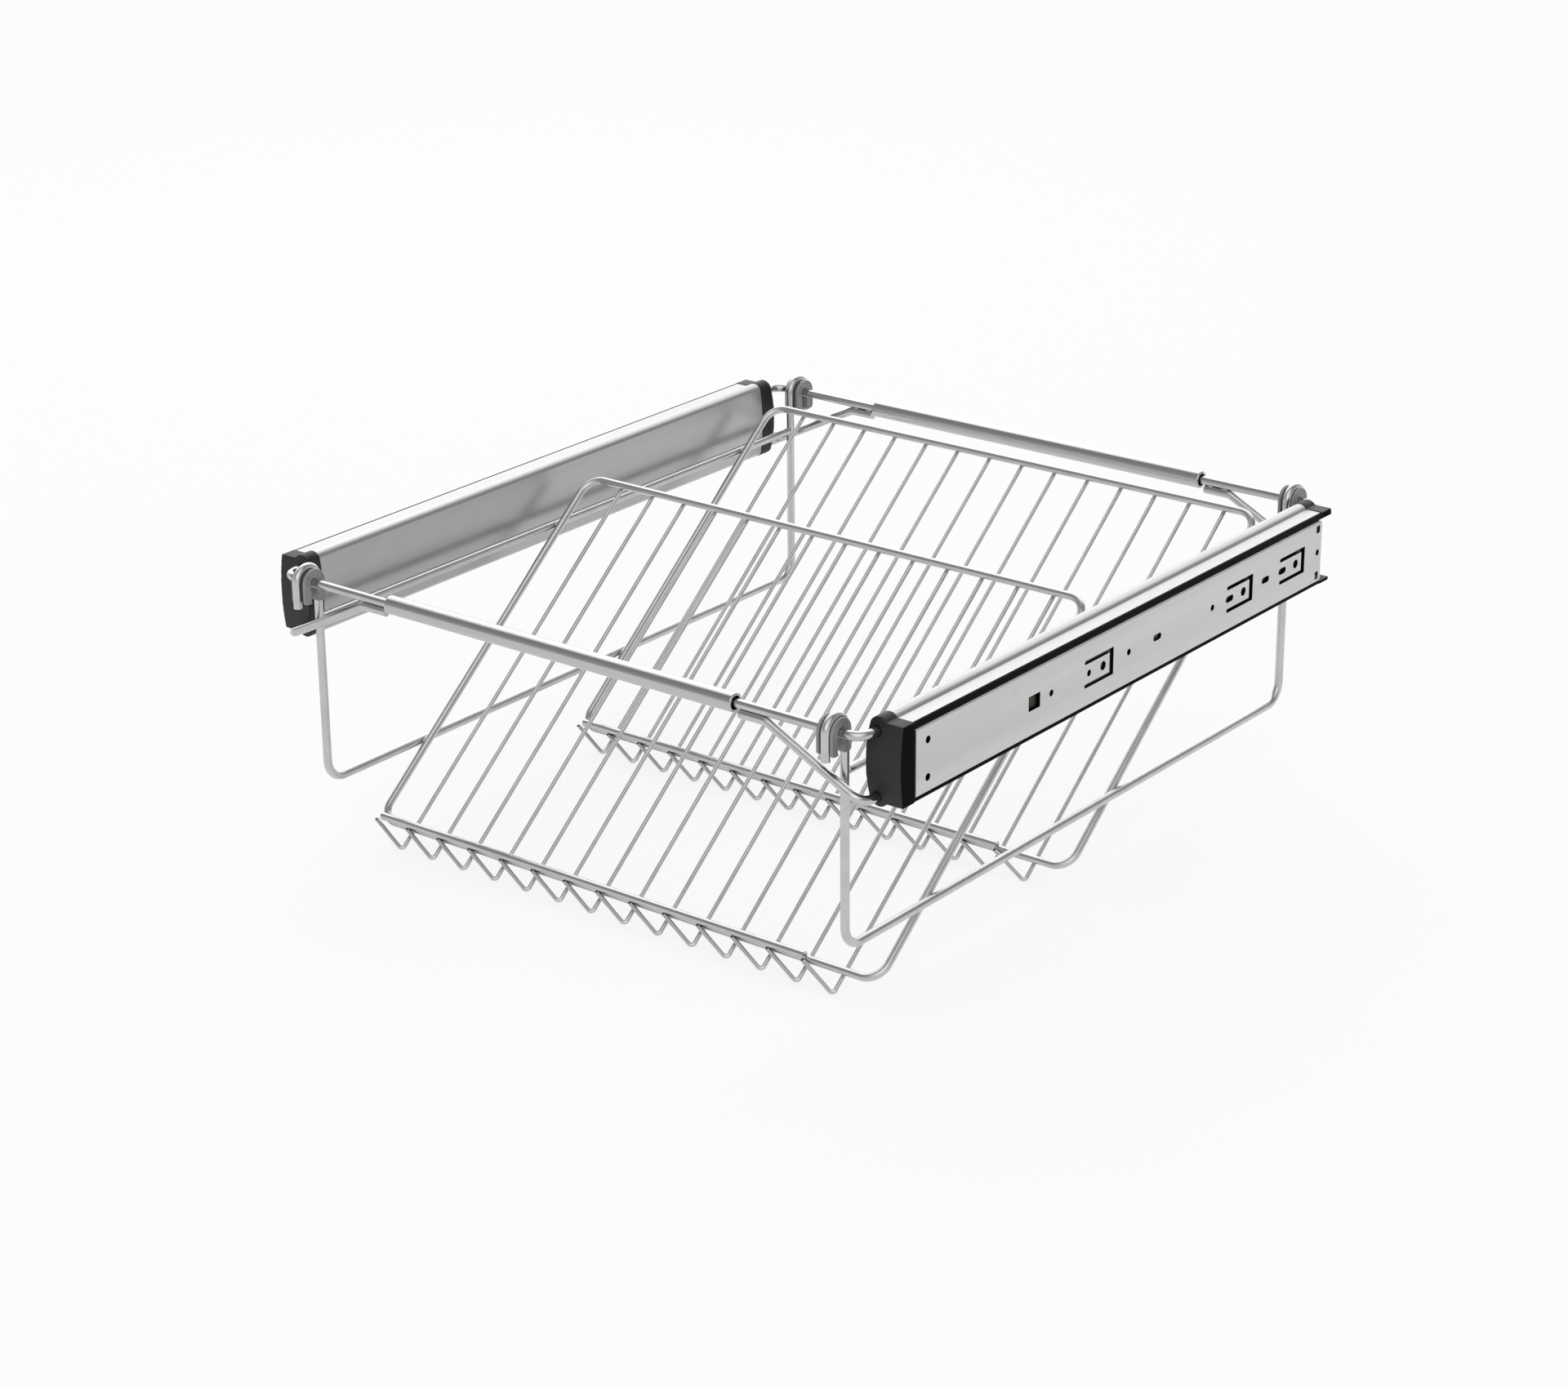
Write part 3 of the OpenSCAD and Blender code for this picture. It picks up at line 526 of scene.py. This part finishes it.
def addBlob(shape, centre, size, seed, turn=Matrix.Identity(3)):
    made = bmesh.ops.create_icosphere(shape, subdivisions=weldValues["ballDetail"], radius=0.5)
    shift = Vector((seed * weldValues["seedStep"], 0, 0))
    for vert in made["verts"]:
        lump = noise.noise(vert.co * weldValues["lumps"] + shift)
        swell = 1 + weldValues["unevenness"] * lump
        at = Vector([a * s * swell for a, s in zip(vert.co, size)])
        vert.co = (Vector(centre) + turn @ at) * mm


def addPiece(name, shape, finish, body):
    mesh = bpy.data.meshes.new(name)
    shape.to_mesh(mesh)
    shape.free()
    mesh.shade_smooth()
    mesh.materials.append(finish)
    piece = bpy.data.objects.new(name, mesh)
    scene.collection.objects.link(piece)
    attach(piece, body)


def addShelfWelds(which, values):
    slope = Matrix.Rotation(math.radians(values["tilt"]), 3, "X")
    crossY = -values["uprightY"] + values["frontCross"] + which * values["shelfPitch"]
    origin = Vector((values["cabinetWidth"] / 2, crossY, -values["frameDrop"]))
    side = values["cabinetWidth"] / 2 - values["sideInset"]
    halfWidth = side - values["sideWire"] / 2 - values["shelfWire"] / 2 - values["weldGap"]
    pitch = 2 * halfWidth / (values["slatCount"] + 1)
    touch = (values["shelfWire"] + values["weldGap"]) / 2
    slatOff = (values["shelfWire"] + values["slatWire"]) / 2 + values["weldGap"]
    notch = -math.sqrt(slatOff ** 2 - touch ** 2)

    def at(x, up, out):
        return origin + slope @ Vector((x, up - values["shelfBelow"], out))

    label = ("front", "rear")[which]
    spots, tips = bmesh.new(), bmesh.new()
    for k in range(1, values["slatCount"] + 1):
        x = -halfWidth + k * pitch
        for up in (0, values["shelfLength"]):
            addBlob(spots, at(x, up, -touch), weldValues["slatSpot"], k + up, slope)
        tipX = x - pitch + values["armShort"] - weldValues["tipInset"]
        tip = at(tipX, notch * weldValues["tipDepth"], touch)
        addBlob(tips, tip, weldValues["tipSpot"], k + weldValues["rearSeed"] * which, slope)
    across = (halfWidth + side - values["sideWire"] / 2) / 2 + values["shelfWire"] / 4
    turn = Matrix.Rotation(math.radians(90), 3, "Y")
    rise = (values["frameDrop"] + values["upperRailZ"]) / math.sin(math.radians(values["tilt"]))
    for sign in (-1, 1):
        for up in (values["shelfBelow"], values["shelfBelow"] + rise):
            corner = at(sign * across, up, 0)
            addBlob(spots, corner, weldValues["frameSpot"], up + sign, slope @ turn)
    addPiece(f"{label}_shelf_welds", spots, finishes["nickel_wire"], "basket")
    addPiece(f"{label}_tips_notch_shade", tips, croppedTipAndShade, "basket")


def addFrameWelds(values):
    shape = bmesh.new()
    width = values["sideWire"] * weldValues["uprightSwell"]
    size = (width, weldValues["uprightFlash"], width)
    for x in (values["sideInset"], values["cabinetWidth"] - values["sideInset"]):
        for sign in (-1, 1):
            y = sign * (values["uprightY"] - values["sideWire"] / 2)
            addBlob(shape, (x, y, values["upperRailZ"]), size, x + sign)
    addPiece("side_frame_welds", shape, finishes["nickel_wire"], "basket")


def addArmWelds(values):
    low = values["armZ"] - (values["armWire"] + values["weldGap"]) / 2
    for side in ("l", "r"):
        shape = bmesh.new()
        for end in (-1, 1):
            y = end * (values["armY"] - weldValues["seamInset"])
            for share in weldValues["seamAt"]:
                u = values["braceStart"] + share * (values["braceEnd"] - values["braceStart"])
                x = u if side == "l" else values["cabinetWidth"] - u
                addBlob(shape, (x, y, low), weldValues["seamSpot"], u + end)
        body = bodyOf[f"front_arm_{side}"]
        addPiece(f"arm_welds_{side}", shape, finishes["bright_chrome"], body)


for which in (0, 1):
    addShelfWelds(which, wireValues)
addFrameWelds(wireValues)
addArmWelds(wireValues)
print("welds added")
